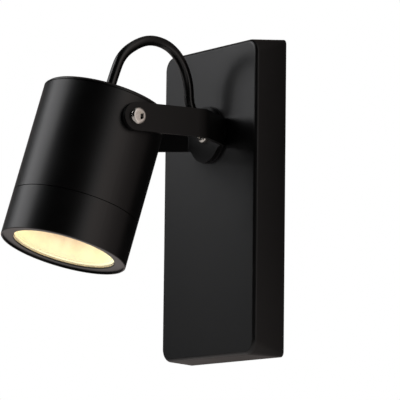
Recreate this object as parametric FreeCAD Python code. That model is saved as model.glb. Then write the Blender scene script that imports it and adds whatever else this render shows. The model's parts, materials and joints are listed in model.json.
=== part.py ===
import FreeCAD, Part
import math
import os
from FreeCAD import Vector

# Pivoting spotlight for a wall: a shallow wall housing, a bent yoke that swivels on it, and a
# round lamp head that tilts between the yoke's arms. Millimetres, +Z up, +X to the right seen
# from the room. The wall is the plane y = 0 and the light stands out towards -Y.

# ---- driving dimensions -------------------------------------------------------------------

# wall housing, a drafted casting that is open to the wall
HOUSING_WIDTH = 83.6
HOUSING_HEIGHT = 155.4
HOUSING_DEPTH = 17.2
HOUSING_DRAFT = 0.7           # each side draws in this much from wall to front
REAR_CORNER = 2.5             # corner radius at the wall
FRONT_CORNER = 7.5            # corner radius at the front
FRONT_EDGE = 1.8
SIDE_WALL = 3.0
FRONT_WALL = 3.0
GASKET_WIDTH = 1.6
GASKET_THICKNESS = 1.2

# swivel of the yoke on the housing
SWIVEL_Z = 33.5
DISC_RADIUS = 14.3
DISC_THICKNESS = 0.5
RUNNING_GAP = 0.05            # axial play at each rubbing face
PIN_PLAY = 0.08               # radial play of the yoke's holes on the screws
SCREW_RADIUS = 2.5
SCREW_HEAD_RADIUS = 4.1
SCREW_HEAD_HEIGHT = 2.3
SOCKET_FLATS = 4.0
SLOT_RADIUS = 8.9             # the flex goes through the pad at this distance from the screw
SLOT_SWEEP = 66.0             # degrees to each side

# yoke, one strip of steel bent in five places with a round pad in its middle
STRIP_THICKNESS = 2.2
STRIP_HEIGHT = 13.7
PAD_RADIUS = 13.9
PAD_FLARE = 4.0
ARM_OUTSIDE = 34.5            # outer face of each arm from the middle
LEG_FOOT_X = 15.5             # where a leg leaves the pad's plane
LEG_SLOPE = 1.22              # a leg runs out this much for each millimetre sideways
PAD_BEND = 4.0
ARM_BEND = 13.0

# tilt of the head in the yoke
PIVOT_Y = -80.5
HEAD_TILT = 17.1              # degrees that the beam leans out from straight down
BOSS_RADIUS = 6.0
BOSS_FACE = 31.5
BOSS_INNER = 24.5

# lamp head, measured along its own axis from the rim
HEAD_RADIUS = 31.0
HEAD_LENGTH = 78.4
PIVOT_FROM_RIM = 66.2
OPENING_RADIUS = 25.1
RING_LENGTH = 22.0
HAIRLINE = 0.35
RING_BORE = 28.2
RIM_LIP = 0.8                 # thin lip that stands round the ring's sunk face
RIM_RECESS = 0.85
RIM_FLANGE = 0.7
CAP_THICKNESS = 1.5
CAP_CHAMFER = 0.9
BODY_BORE = 28.3
SPIGOT_BORE = 25.7
GLASS_RADIUS = 27.6
GLASS_THICKNESS = 2.5
GLASS_GASKET = 0.6
SEAL_HEIGHT = 1.4             # lathe-cut seals in the spigot's and the cap's grooves
SEAL_DEPTH = 1.2
SEAL_GROOVE = 1.6

# reflector lamp and its holder
LAMP_RADIUS = 25.0
LAMP_FACE = 4.4               # distance of the lamp's lip from the rim
LAMP_LIP = 1.3
LAMP_END = 52.6
LAMP_PIN_PITCH = 10.0
HOLDER_START = 53.0
HOLDER_LENGTH = 12.5
STRAP_THICKNESS = 1.2
LUG_PITCH = 23.5

# flex and wires
FLEX_DIAMETER = 5.0
CORE_RADIUS = 0.95
GLAND_TOP = 85.0              # from the rim along the head's axis
SHEATH_END = 72.4
# free flex in the plane x = 0, as (y, z), from the head's gland to the back of the pad
FLEX_ROUTE = [
    (-74.96, 51.48), (-72.9, 58.17), (-68.6, 69.0), (-58.5, 76.0), (-50.0, 78.0), (-40.5, 75.5),
    (-33.5, 68.5), (-29.5, 58.5), (-29.0, 46.5), (-24.0, 42.4), (-17.75, 42.4),
]
# flex inside the housing, from the slot behind the pad to the cord grip
INNER_ROUTE = [
    (0.0, -17.75, 42.4), (0.0, -12.0, 42.4), (3.2, -6.2, 39.6),
    (12.0, -6.8, 31.0), (16.0, -9.0, 21.0), (16.0, -9.0, 11.0),
]

# wall bracket and wiring
BRACKET_WIDTH = 24.0
BRACKET_THICKNESS = 1.5
BRACKET_HALF = 73.9
WALL_SLOT_Z = 30.0
WALL_SLOT_WIDTH = 4.8
WALL_SLOT_LENGTH = 14.0
TAB_HOLE_Y = -7.0
BLOCK_X = 16.0
BLOCK_TOP = -11.0
BLOCK_LENGTH = 15.0
POLE_PITCH = 8.0
BARREL_Y = -9.5
GRIP_Z = 15.0
GRIP_SCREW_OFFSET = 6.4
EARTH_POST = (24.0, -44.0)

# ---- positions that follow from them ------------------------------------------------------

FRONT_Y = -HOUSING_DEPTH
INNER_Y = FRONT_Y + FRONT_WALL
DISC_Y = FRONT_Y - DISC_THICKNESS
PAD_BACK_Y = DISC_Y - RUNNING_GAP
PAD_FRONT_Y = PAD_BACK_Y - STRIP_THICKNESS
FLEX_RADIUS = FLEX_DIAMETER / 2
FLEX_HOLE_Z = SWIVEL_Z + SLOT_RADIUS
BODY_START = RING_LENGTH + HAIRLINE
CAP_START = HEAD_LENGTH - CAP_THICKNESS
BODY_END = CAP_START - HAIRLINE
GLASS_START = RIM_RECESS + RIM_FLANGE
GLASS_END = GLASS_START + GLASS_THICKNESS
SPIGOT_START = GLASS_END + GLASS_GASKET
SPIGOT_RADIUS = RING_BORE - 0.2
SPIGOT_GROOVE_START = 18.6
CAP_COLLAR = BODY_BORE - 0.2
CAP_GROOVE_END = CAP_START - 1.4

X = Vector(1, 0, 0)
Y = Vector(0, 1, 0)
Z = Vector(0, 0, 1)


# ---- helpers ------------------------------------------------------------------------------

def block(low, high):
    """Box between two corners."""
    low = Vector(*low)
    size = Vector(*high) - low
    return Part.makeBox(size.x, size.y, size.z, low)


def rod(radius, start, end):
    """Cylinder from one point to another."""
    start = Vector(*start)
    along = Vector(*end) - start
    return Part.makeCylinder(radius, along.Length, start, along)


def both_sides(shape):
    """The shape and its mirror image in the plane x = 0."""
    return shape.fuse(shape.mirror(Vector(0, 0, 0), X))


def turned(profile):
    """Solid of revolution about Z from (radius, z) points."""
    points = [Vector(r, 0, z) for r, z in profile]
    face = Part.Face(Part.makePolygon(points + points[:1]))
    return face.revolve(Vector(0, 0, 0), Z, 360)


def rounded_outline(width, height, corner, y):
    """Rectangle with round corners in the plane at y, starting at the same point each time."""
    a = width / 2
    b = height / 2
    k = corner * (1 - math.sqrt(0.5))
    turns = [
        ((a - corner, -b), (a - k, -b + k), (a, -b + corner)),
        ((a, b - corner), (a - k, b - k), (a - corner, b)),
        ((-a + corner, b), (-a + k, b - k), (-a, b - corner)),
        ((-a, -b + corner), (-a + k, -b + k), (-a + corner, -b)),
    ]
    edges = []
    last = turns[-1][2]
    for start, middle, end in turns:
        p = [Vector(x, y, z) for x, z in (last, start, middle, end)]
        edges.append(Part.makeLine(p[0], p[1]))
        edges.append(Part.Arc(p[1], p[2], p[3]).toShape())
        last = end
    return Part.Wire(edges)


def drafted_box(width, height, corners, front_y, draft):
    """Box from the wall plane to front_y whose sides draw in by the draft."""
    rear = rounded_outline(width, height, corners[0], 0)
    front = rounded_outline(width - 2 * draft, height - 2 * draft, corners[1], front_y)
    return Part.makeLoft([rear, front], True, True)


def hex_prism(flats, start, along):
    """Six-sided prism with the given width across flats."""
    start = Vector(*start)
    along = Vector(*along)
    side = Vector(0, 0, 1) if abs(along.z) < 0.5 * along.Length else Vector(1, 0, 0)
    spoke = side * (flats / math.sqrt(3))
    turn = [FreeCAD.Rotation(along, 60 * i) for i in range(6)]
    points = [start + r.multVec(spoke) for r in turn]
    return Part.Face(Part.makePolygon(points + points[:1])).extrude(along)


def socket_screw(face, along, length):
    """Low cylinder-head screw with a hex socket: face is the middle of the head's seat."""
    face = Vector(*face)
    along = Vector(*along)
    top = face - along * SCREW_HEAD_HEIGHT
    head = Part.makeCylinder(SCREW_HEAD_RADIUS, SCREW_HEAD_HEIGHT, top, along)
    rim = [e for e in head.Edges if e.Closed and (e.CenterOfMass - top).Length < 0.01]
    head = head.makeChamfer(0.5, rim)
    socket = hex_prism(SOCKET_FLATS, top, along * 1.5)
    shank = Part.makeCylinder(SCREW_RADIUS, length, face, along)
    return head.cut(socket).fuse(shank).removeSplitter()


def pan_screw(radius, head_radius, head_height, face, along, length):
    """Small pan-head screw, its drive left plain."""
    face = Vector(*face)
    along = Vector(*along)
    top = face - along * head_height
    head = Part.makeCylinder(head_radius, head_height, top, along)
    rim = [e for e in head.Edges if e.Closed and (e.CenterOfMass - top).Length < 0.01]
    head = head.makeChamfer(head_height * 0.4, rim)
    shank = Part.makeCylinder(radius, length, face, along)
    return head.fuse(shank).removeSplitter()


def tangent_path(points, share=0.45):
    """Straight runs joined by tangent arcs, and the arcs' radii."""
    runs = [(b - a).Length for a, b in zip(points, points[1:])]
    edges = []
    radii = []
    last = points[0]
    for i in range(1, len(points) - 1):
        back = (points[i - 1] - points[i]).normalize()
        ahead = (points[i + 1] - points[i]).normalize()
        half_turn = (math.pi - back.getAngle(ahead)) / 2
        cut = share * min(runs[i - 1], runs[i])
        radius = cut / math.tan(half_turn)
        start = points[i] + back * cut
        end = points[i] + ahead * cut
        inward = (back + ahead).normalize()
        middle = points[i] + inward * (radius / math.cos(half_turn) - radius)
        edges.append(Part.LineSegment(last, start).toShape())
        edges.append(Part.Arc(start, middle, end).toShape())
        radii.append(radius)
        last = end
    edges.append(Part.LineSegment(last, points[-1]).toShape())
    return Part.Wire(edges), radii


def tube(name, points, radius):
    """Round cord along a route, with its length, radii and volume printed."""
    path, radii = tangent_path([Vector(*p) for p in points])
    first = path.Edges[0]
    circle = Part.makeCircle(radius, first.valueAt(first.FirstParameter),
                             first.tangentAt(first.FirstParameter))
    cord = path.makePipeShell([Part.Wire(circle)], True, True)
    ratio = cord.Volume / (path.Length * math.pi * radius ** 2)
    print(f"{name}: length {path.Length:.1f}, radii {[round(r, 1) for r in radii]}, "
          f"volume ratio {ratio:.4f}")
    return cord


def arc_slot(width, y_low, y_high, sweep):
    """Curved slot about the swivel screw, centred straight above it."""
    half = width / 2
    centre = Vector(0, y_low, SWIVEL_Z)
    depth = y_high - y_low

    def at(radius, degrees):
        a = math.radians(90 - degrees)
        return centre + Vector(radius * math.cos(a), 0, radius * math.sin(a))

    outer = Part.Arc(at(SLOT_RADIUS + half, -sweep), at(SLOT_RADIUS + half, 0),
                     at(SLOT_RADIUS + half, sweep)).toShape()
    inner = Part.Arc(at(SLOT_RADIUS - half, sweep), at(SLOT_RADIUS - half, 0),
                     at(SLOT_RADIUS - half, -sweep)).toShape()
    tip = math.degrees(half / SLOT_RADIUS)
    right = Part.Arc(at(SLOT_RADIUS + half, sweep), at(SLOT_RADIUS, sweep + tip),
                     at(SLOT_RADIUS - half, sweep)).toShape()
    left = Part.Arc(at(SLOT_RADIUS - half, -sweep), at(SLOT_RADIUS, -sweep - tip),
                    at(SLOT_RADIUS + half, -sweep)).toShape()
    return Part.Face(Part.Wire([outer, right, inner, left])).extrude(Vector(0, depth, 0))


def in_head(shape):
    """Move a shape from the head's own axis to its place in the yoke."""
    placed = shape.copy()
    placed.translate(Vector(0, 0, -PIVOT_FROM_RIM))
    placed.rotate(Vector(0, 0, 0), X, -HEAD_TILT)
    placed.translate(Vector(0, PIVOT_Y, SWIVEL_Z))
    return placed


# ---- wall housing and what is fixed in it -------------------------------------------------

def wall_housing():
    """Drafted casting with inside posts, ribs, a hook peg, and the swivel's screw hole."""
    outside = drafted_box(HOUSING_WIDTH, HOUSING_HEIGHT, (REAR_CORNER, FRONT_CORNER),
                          FRONT_Y, HOUSING_DRAFT)
    front = [f for f in outside.Faces if abs(f.CenterOfMass.y - FRONT_Y) < 0.01][0]
    outside = outside.makeFillet(FRONT_EDGE, front.Edges)
    inside = drafted_box(HOUSING_WIDTH - 2 * SIDE_WALL, HOUSING_HEIGHT - 2 * SIDE_WALL,
                         (1.5, 4.5), INNER_Y, HOUSING_DRAFT)
    shell = outside.cut(inside)
    rebate = rounded_outline(HOUSING_WIDTH - 2 * (SIDE_WALL - GASKET_WIDTH),
                             HOUSING_HEIGHT - 2 * (SIDE_WALL - GASKET_WIDTH), 2.0, 0)
    shell = shell.cut(Part.Face(rebate).extrude(Vector(0, -GASKET_THICKNESS, 0)))
    half_height = HOUSING_HEIGHT / 2 - SIDE_WALL
    peg = block((-2.8, -7.2, -half_height - 1), (2.8, -4.8, -half_height + 3.8))
    additions = [peg] + stiffening_ribs() + grip_posts() + [earth_post()]
    shell = shell.fuse(additions)
    holes = [
        rod(SCREW_RADIUS + 0.1, (0, FRONT_Y - 1, SWIVEL_Z), (0, INNER_Y + 6, SWIVEL_Z)),
        arc_slot(FLEX_DIAMETER + 1.0, FRONT_Y - 1, INNER_Y + 6, SLOT_SWEEP),
        top_screw_hole(),
    ]
    return shell.cut(holes).removeSplitter()


def stiffening_ribs():
    """Two long ribs down the inside of the front wall, and two across it."""
    rib_height = 2.2
    rib = 1.6
    ribs = []
    for x in (-30.0, 30.0):
        ribs.append(block((x - rib / 2, INNER_Y - 0.5, -66), (x + rib / 2, INNER_Y + rib_height, 66)))
    for z in (-58.0, 58.0):
        ribs.append(block((-36, INNER_Y - 0.5, z - rib / 2), (36, INNER_Y + rib_height, z + rib / 2)))
    return ribs


def grip_posts():
    """Two posts that the flex's saddle is screwed to."""
    posts = []
    for side in (-1, 1):
        x = BLOCK_X + side * GRIP_SCREW_OFFSET
        post = rod(2.7, (x, INNER_Y - 0.5, GRIP_Z), (x, BARREL_Y + 0.5, GRIP_Z))
        posts.append(post.cut(rod(1.5, (x, INNER_Y + 0.5, GRIP_Z), (x, 0, GRIP_Z))))
    return posts


def earth_post():
    x, z = EARTH_POST
    post = rod(4.0, (x, INNER_Y - 0.5, z), (x, INNER_Y + 3.0, z))
    return post.cut(rod(2.0, (x, INNER_Y - 0.2, z), (x, 0, z)))


def top_screw_hole():
    """Countersunk hole in the top wall for the screw into the bracket's tab."""
    top = HOUSING_HEIGHT / 2
    hole = rod(2.2, (0, TAB_HOLE_Y, top - SIDE_WALL - 2), (0, TAB_HOLE_Y, top + 1))
    sink = turned([(0, top - 2.5), (2.2, top - 2.5), (4.2, top - 0.5), (4.2, top + 1), (0, top + 1)])
    sink.translate(Vector(0, TAB_HOLE_Y, 0))
    return hole.fuse(sink)


def wall_gasket():
    """Rubber frame that lies in the rim's rebate, flush with the wall plane."""
    wide = HOUSING_WIDTH - 2 * (SIDE_WALL - GASKET_WIDTH)
    high = HOUSING_HEIGHT - 2 * (SIDE_WALL - GASKET_WIDTH)
    outer = Part.Face(rounded_outline(wide, high, 2.0, 0))
    inner = Part.Face(rounded_outline(wide - 2 * GASKET_WIDTH, high - 2 * GASKET_WIDTH, 1.5, 0))
    return outer.cut(inner).extrude(Vector(0, -GASKET_THICKNESS, 0))


def mounting_bracket():
    """Steel strap against the wall, with slots for the wall screws and a tab at each end."""
    half = BRACKET_WIDTH / 2
    strap = block((-half, -BRACKET_THICKNESS, -BRACKET_HALF), (half, 0, BRACKET_HALF))
    tab_depth = 11.5
    tab = 8.0
    top = block((-tab, -tab_depth, BRACKET_HALF - BRACKET_THICKNESS), (tab, 0, BRACKET_HALF))
    bottom = top.mirror(Vector(0, 0, 0), Z)
    bracket = strap.fuse([top, bottom]).removeSplitter()
    corners = [e for e in bracket.Edges if is_along(e, Y)
               and abs(abs(e.CenterOfMass.x) - half) < 0.01]
    bracket = bracket.makeFillet(3.0, corners)
    folds = [e for e in bracket.Edges if is_along(e, X) and abs(e.CenterOfMass.y) < 0.01]
    bracket = bracket.makeFillet(1.4, folds)
    cuts = [rod(5.0, (0, -3, 0), (0, 1, 0))]
    for z in (-WALL_SLOT_Z, WALL_SLOT_Z):
        cuts.append(upright_slot(z))
    cuts.append(rod(2.05, (0, TAB_HOLE_Y, BRACKET_HALF - 4), (0, TAB_HOLE_Y, BRACKET_HALF + 1)))
    cuts.append(block((-3.6, -7.8, -BRACKET_HALF - 1), (3.6, -4.2, -BRACKET_HALF + 4)))
    return bracket.cut(cuts)


def upright_slot(z):
    """Cutter for one slot that runs up and down, for a wall screw."""
    radius = WALL_SLOT_WIDTH / 2
    reach = WALL_SLOT_LENGTH / 2 - radius
    low = rod(radius, (0, -3, z - reach), (0, 1, z - reach))
    high = rod(radius, (0, -3, z + reach), (0, 1, z + reach))
    middle = block((-radius, -3, z - reach), (radius, 1, z + reach))
    return low.fuse([high, middle])


def is_along(edge, direction):
    """True for a straight edge parallel to the direction."""
    if not isinstance(edge.Curve, Part.Line):
        return False
    return abs(edge.Curve.Direction.dot(direction)) > 0.999


def housing_fixing_screw():
    """Countersunk screw down through the housing's top wall into the bracket's tab."""
    top = HOUSING_HEIGHT / 2 - 0.6
    screw = turned([(0, top), (3.9, top), (2.0, top - 1.9), (2.0, 70.5), (0, 70.5)])
    slot = block((-0.5, -5, top - 1.0), (0.5, 5, top + 1))
    screw = screw.cut(slot)
    screw.translate(Vector(0, TAB_HOLE_Y, 0))
    return screw


def pole_x():
    return [BLOCK_X + i * POLE_PITCH for i in (-1, 0, 1)]


def terminal_block():
    """Three-pole connector: a base, a barrel for each pole's wires and a tower for each screw."""
    low = BLOCK_TOP - BLOCK_LENGTH
    body = block((BLOCK_X - 12.4, INNER_Y, low), (BLOCK_X + 12.4, BARREL_Y - 1.0, BLOCK_TOP))
    cuts = []
    for x in pole_x():
        body = body.fuse(rod(3.5, (x, BARREL_Y, low), (x, BARREL_Y, BLOCK_TOP)))
        cuts.append(rod(1.5, (x, BARREL_Y, low - 1), (x, BARREL_Y, BLOCK_TOP + 1)))
        for z in terminal_screw_z():
            body = body.fuse(rod(2.9, (x, BARREL_Y, z), (x, BARREL_Y + 4.6, z)))
            cuts.append(rod(1.9, (x, BARREL_Y, z), (x, BARREL_Y + 6, z)))
    return body.cut(cuts).removeSplitter()


def terminal_screw_z():
    middle = BLOCK_TOP - BLOCK_LENGTH / 2
    return (middle - 4.0, middle + 4.0)


def terminal_screws():
    """Six slotted grub screws, two to a pole, seated above the wires."""
    screws = []
    for x in pole_x():
        for z in terminal_screw_z():
            grub = rod(1.7, (x, BARREL_Y + 1.2, z), (x, BARREL_Y + 3.8, z))
            grub = grub.cut(block((x - 2, BARREL_Y + 3.1, z - 0.3), (x + 2, BARREL_Y + 4, z + 0.3)))
            screws.append(grub)
    return Part.makeCompound(screws)


def cord_grip():
    """Saddle over the flex, with an ear for each of its two screws."""
    z_low = GRIP_Z - 3.5
    route_y = INNER_ROUTE[-1][1]
    seat_y = BARREL_Y + 0.5
    arch = rod(FLEX_RADIUS + 1.5, (BLOCK_X, route_y, z_low), (BLOCK_X, route_y, z_low + 7))
    arch = arch.cut(block((BLOCK_X - 6, route_y - 6, z_low - 1), (BLOCK_X + 6, seat_y, z_low + 9)))
    ears = block((BLOCK_X - 9.4, seat_y, z_low), (BLOCK_X + 9.4, seat_y + 1.8, z_low + 7))
    edges = [e for e in ears.Edges if is_along(e, Y)]
    saddle = ears.makeFillet(2.5, edges).fuse(arch)
    cuts = [rod(FLEX_RADIUS, (BLOCK_X, route_y, z_low - 1), (BLOCK_X, route_y, z_low + 9))]
    for side in (-1, 1):
        x = BLOCK_X + side * GRIP_SCREW_OFFSET
        cuts.append(rod(1.6, (x, seat_y - 1, GRIP_Z), (x, seat_y + 4, GRIP_Z)))
    return saddle.cut(cuts).removeSplitter()


def cord_grip_screws():
    seat_y = BARREL_Y + 0.5 + 1.8
    screws = []
    for side in (-1, 1):
        x = BLOCK_X + side * GRIP_SCREW_OFFSET
        screws.append(pan_screw(1.45, 2.7, 1.6, (x, seat_y, GRIP_Z), (0, -1, 0), 5.8))
    return Part.makeCompound(screws)


def earth_screw():
    """Screw and cup washer that clamp the earth lead's ring to the housing."""
    x, z = EARTH_POST
    lug_top = INNER_Y + 3.0 + 0.8
    washer = rod(3.9, (x, lug_top, z), (x, lug_top + 0.8, z))
    return pan_screw(1.95, 3.5, 2.2, (x, lug_top + 0.8, z), (0, -1, 0), 4.6).fuse(washer)


def earth_lead():
    """Short wire from the block's earth pole to the ring under the earth screw."""
    x, z = EARTH_POST
    low = BLOCK_TOP - BLOCK_LENGTH
    lug_y = INNER_Y + 3.0
    wire_y = lug_y + 0.9
    route = [(x, BARREL_Y, low + 3), (x, BARREL_Y, low - 2.5), (x, wire_y, low - 8), (x, wire_y, z + 5)]
    wire = tube("earth_lead", route, CORE_RADIUS)
    ring = rod(3.9, (x, lug_y, z), (x, lug_y + 0.8, z))
    tongue = block((x - 1.4, lug_y, z + 2), (x + 1.4, lug_y + 0.8, z + 7))
    lug = ring.fuse(tongue).cut(rod(2.1, (x, lug_y - 1, z), (x, lug_y + 2, z)))
    return wire.fuse(lug)


def block_core(index):
    """Wire from the end of the flex's sheath into one pole of the block."""
    x = pole_x()[index]
    end = INNER_ROUTE[-1]
    angle = math.radians(210 - 120 * index)
    start = (end[0] + 1.25 * math.cos(angle), end[1] - 1.25 * math.sin(angle))
    route = [
        (start[0], start[1], end[2]),
        (start[0], start[1], end[2] - 4),
        ((start[0] + x) / 2, (start[1] + BARREL_Y) / 2, end[2] - 10),
        (x, BARREL_Y, BLOCK_TOP + 5),
        (x, BARREL_Y, BLOCK_TOP - 3),
    ]
    return tube(f"core {index}", route, CORE_RADIUS)


def inner_flex():
    return tube("inner_flex", INNER_ROUTE, FLEX_RADIUS)


# ---- swivel -------------------------------------------------------------------------------

def swivel_disc():
    """Thin friction disc between the yoke's pad and the housing, slotted for the flex."""
    disc = rod(DISC_RADIUS, (0, DISC_Y, SWIVEL_Z), (0, FRONT_Y, SWIVEL_Z))
    hole = rod(SCREW_RADIUS + 0.1, (0, DISC_Y - 1, SWIVEL_Z), (0, FRONT_Y + 1, SWIVEL_Z))
    return disc.cut([hole, arc_slot(FLEX_DIAMETER + 1.0, DISC_Y - 1, FRONT_Y + 1, SLOT_SWEEP)])


def swivel_screw():
    seat = (0, PAD_FRONT_Y - RUNNING_GAP, SWIVEL_Z)
    return socket_screw(seat, (0, 1, 0), INNER_Y + 5.6 - seat[1])


def swivel_spring_washer():
    """Dished spring washer behind the front wall."""
    thickness = 0.8
    dish = 0.5
    inner = SCREW_RADIUS + 0.1
    outer = 5.2
    ring = turned([(inner, dish), (outer, 0), (outer, thickness), (inner, thickness + dish)])
    ring.rotate(Vector(0, 0, 0), X, -90)
    ring.translate(Vector(0, INNER_Y, SWIVEL_Z))
    return ring


def swivel_nut():
    """Locking nut with a round collar."""
    start = INNER_Y + 1.3
    nut = hex_prism(8.0, (0, start, SWIVEL_Z), (0, 3.0, 0))
    collar = rod(3.6, (0, start + 3.0, SWIVEL_Z), (0, start + 4.0, SWIVEL_Z))
    bore = rod(SCREW_RADIUS, (0, start - 1, SWIVEL_Z), (0, start + 6, SWIVEL_Z))
    return nut.fuse(collar).cut(bore)


# ---- yoke ---------------------------------------------------------------------------------

def yoke_plan():
    """Bent strip seen from above, as a prism taller than the pad."""
    slope = math.atan(LEG_SLOPE)
    t = STRIP_THICKNESS
    knee_y = PAD_BACK_Y - (ARM_OUTSIDE - LEG_FOOT_X) * LEG_SLOPE
    arm_end = PIVOT_Y - STRIP_HEIGHT / 2
    foot_shift = t * math.tan(slope / 2)
    knee_shift = t * math.tan((math.pi / 2 - slope) / 2)
    outer = [(ARM_OUTSIDE, arm_end), (ARM_OUTSIDE, knee_y), (LEG_FOOT_X, PAD_BACK_Y)]
    inner = [(LEG_FOOT_X - foot_shift, PAD_FRONT_Y), (ARM_OUTSIDE - t, knee_y - knee_shift),
             (ARM_OUTSIDE - t, arm_end)]
    half = outer + [(0, PAD_BACK_Y), (0, PAD_FRONT_Y)] + inner
    z = SWIVEL_Z - PAD_RADIUS - 1
    points = [Vector(x, y, z) for x, y in half]
    right = Part.Face(Part.makePolygon(points + points[:1])).extrude(Z * (2 * PAD_RADIUS + 2))
    bends = [(outer[1], ARM_BEND), (outer[2], PAD_BEND), (inner[0], PAD_BEND - t),
             (inner[1], ARM_BEND - t)]
    for (x, y), radius in bends:
        corner = [e for e in right.Edges if is_along(e, Z)
                  and abs(e.CenterOfMass.x - x) < 0.01 and abs(e.CenterOfMass.y - y) < 0.01]
        right = right.makeFillet(radius, corner)
    return both_sides(right).removeSplitter()


def yoke_blank():
    """The strip's outline seen from the front: a round pad that flares into the strip."""
    half = STRIP_HEIGHT / 2
    reach = ARM_OUTSIDE + 1
    low_y = PIVOT_Y - STRIP_HEIGHT
    high_y = PAD_BACK_Y + 1
    pad = rod(PAD_RADIUS, (0, low_y, SWIVEL_Z), (0, high_y, SWIVEL_Z))
    strip = block((-reach, low_y, SWIVEL_Z - half), (reach, high_y, SWIVEL_Z + half))
    blank = pad.fuse(strip).removeSplitter()
    meeting_x = math.sqrt(PAD_RADIUS ** 2 - half ** 2)
    corners = [e for e in blank.Edges if is_along(e, Y)
               and abs(abs(e.CenterOfMass.x) - meeting_x) < 0.01]
    return blank.makeFillet(PAD_FLARE, corners)


def yoke():
    """One bent strip: pad on the disc, a leg to each side, and arms with round ends."""
    strip = yoke_plan().common(yoke_blank())
    reach = ARM_OUTSIDE + 1
    end = rod(STRIP_HEIGHT / 2, (-reach, PIVOT_Y, SWIVEL_Z), (reach, PIVOT_Y, SWIVEL_Z))
    rest = block((-reach, PIVOT_Y, SWIVEL_Z - PAD_RADIUS - 1), (reach, 0, SWIVEL_Z + PAD_RADIUS + 1))
    strip = strip.common(end.fuse(rest))
    hole = SCREW_RADIUS + PIN_PLAY
    cuts = [
        rod(hole, (0, PAD_FRONT_Y - 1, SWIVEL_Z), (0, PAD_BACK_Y + 1, SWIVEL_Z)),
        rod(hole, (-reach, PIVOT_Y, SWIVEL_Z), (reach, PIVOT_Y, SWIVEL_Z)),
        rod(FLEX_RADIUS + 1.1, (0, PAD_FRONT_Y - 1, FLEX_HOLE_Z), (0, PAD_BACK_Y + 1, FLEX_HOLE_Z)),
    ]
    return strip.cut(cuts).removeSplitter()


def pad_grommet():
    """Flanged bush that lines the flex's hole in the pad."""
    sleeve = FLEX_RADIUS + 1.1
    flange = 4.2
    y_out = PAD_FRONT_Y - 1.0
    profile = [(FLEX_RADIUS, y_out), (flange - 0.5, y_out), (flange, y_out + 0.5),
               (flange, PAD_FRONT_Y), (sleeve, PAD_FRONT_Y), (sleeve, PAD_BACK_Y),
               (FLEX_RADIUS, PAD_BACK_Y)]
    bush = turned([(r, -y) for r, y in profile])
    bush.rotate(Vector(0, 0, 0), X, 90)
    bush.translate(Vector(0, 0, FLEX_HOLE_Z))
    return bush


def flex_cable():
    return tube("flex_cable", [(0, y, z) for y, z in FLEX_ROUTE], FLEX_RADIUS)


# ---- lamp head, drawn along its own axis with the rim at z = 0 ---------------------------

def head_body():
    """Turned tube with a spigot for the ring, pivot bosses and lugs for the holder's strap."""
    groove = RING_BORE - SEAL_DEPTH
    groove_end = SPIGOT_GROOVE_START + SEAL_GROOVE
    tube_wall = turned([
        (SPIGOT_BORE, SPIGOT_START), (SPIGOT_RADIUS, SPIGOT_START),
        (SPIGOT_RADIUS, SPIGOT_GROOVE_START), (groove, SPIGOT_GROOVE_START),
        (groove, groove_end), (SPIGOT_RADIUS, groove_end), (SPIGOT_RADIUS, BODY_START),
        (HEAD_RADIUS, BODY_START), (HEAD_RADIUS, BODY_END), (BODY_BORE, BODY_END),
        (BODY_BORE, BODY_START + 3), (SPIGOT_BORE, BODY_START + 1),
    ])
    boss = rod(BOSS_RADIUS, (BOSS_INNER, 0, PIVOT_FROM_RIM), (BOSS_FACE, 0, PIVOT_FROM_RIM))
    lugs = []
    for side in (-1, 1):
        lug = block((-5, 20, 57), (5, 29, HOLDER_START + HOLDER_LENGTH))
        lugs.append(lug if side > 0 else lug.mirror(Vector(0, 0, 0), Y))
    body = tube_wall.fuse([both_sides(boss)] + lugs)
    tapped = rod(SCREW_RADIUS, (BOSS_INNER - 1, 0, PIVOT_FROM_RIM), (BOSS_FACE + 1, 0, PIVOT_FROM_RIM))
    cuts = [both_sides(tapped)]
    for y in (-LUG_PITCH, LUG_PITCH):
        cuts.append(rod(1.5, (0, y, 60), (0, y, 67)))
    return body.cut(cuts).removeSplitter()


def front_ring():
    """Screw-on ring: a thin lip round a sunk face, whose flange holds the glass."""
    bevel = 0.3
    return turned([
        (OPENING_RADIUS, RIM_RECESS + bevel), (OPENING_RADIUS + bevel, RIM_RECESS),
        (HEAD_RADIUS - RIM_LIP, RIM_RECESS), (HEAD_RADIUS - RIM_LIP, 0), (HEAD_RADIUS - bevel, 0),
        (HEAD_RADIUS, bevel), (HEAD_RADIUS, RING_LENGTH), (RING_BORE, RING_LENGTH),
        (RING_BORE, GLASS_START), (OPENING_RADIUS, GLASS_START),
    ])


def flat_ring(inner, outer, start, height):
    """Ring with a square section."""
    return turned([(inner, start), (outer, start), (outer, start + height), (inner, start + height)])


def ring_seal():
    start = SPIGOT_GROOVE_START + (SEAL_GROOVE - SEAL_HEIGHT) / 2
    return flat_ring(RING_BORE - SEAL_DEPTH, RING_BORE, start, SEAL_HEIGHT)


def glass_gasket():
    """Silicone ring that the spigot presses on the back of the glass."""
    return flat_ring(SPIGOT_BORE, RING_BORE - 0.3, GLASS_END, GLASS_GASKET)


def front_glass():
    edge = 0.4
    return turned([(0, GLASS_START), (GLASS_RADIUS - edge, GLASS_START),
                   (GLASS_RADIUS, GLASS_START + edge), (GLASS_RADIUS, GLASS_END - edge),
                   (GLASS_RADIUS - edge, GLASS_END), (0, GLASS_END)])


def bowl_edge(lip, neck, start, end):
    """The reflector's curve in the plane y = 0, from its wide lip to its neck."""
    middle = (lip - 0.3 * (lip - neck), (start + end) / 2)
    points = [Vector(r, 0, z) for r, z in ((lip, start), middle, (neck, end))]
    return Part.Arc(*points).toShape()


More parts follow.
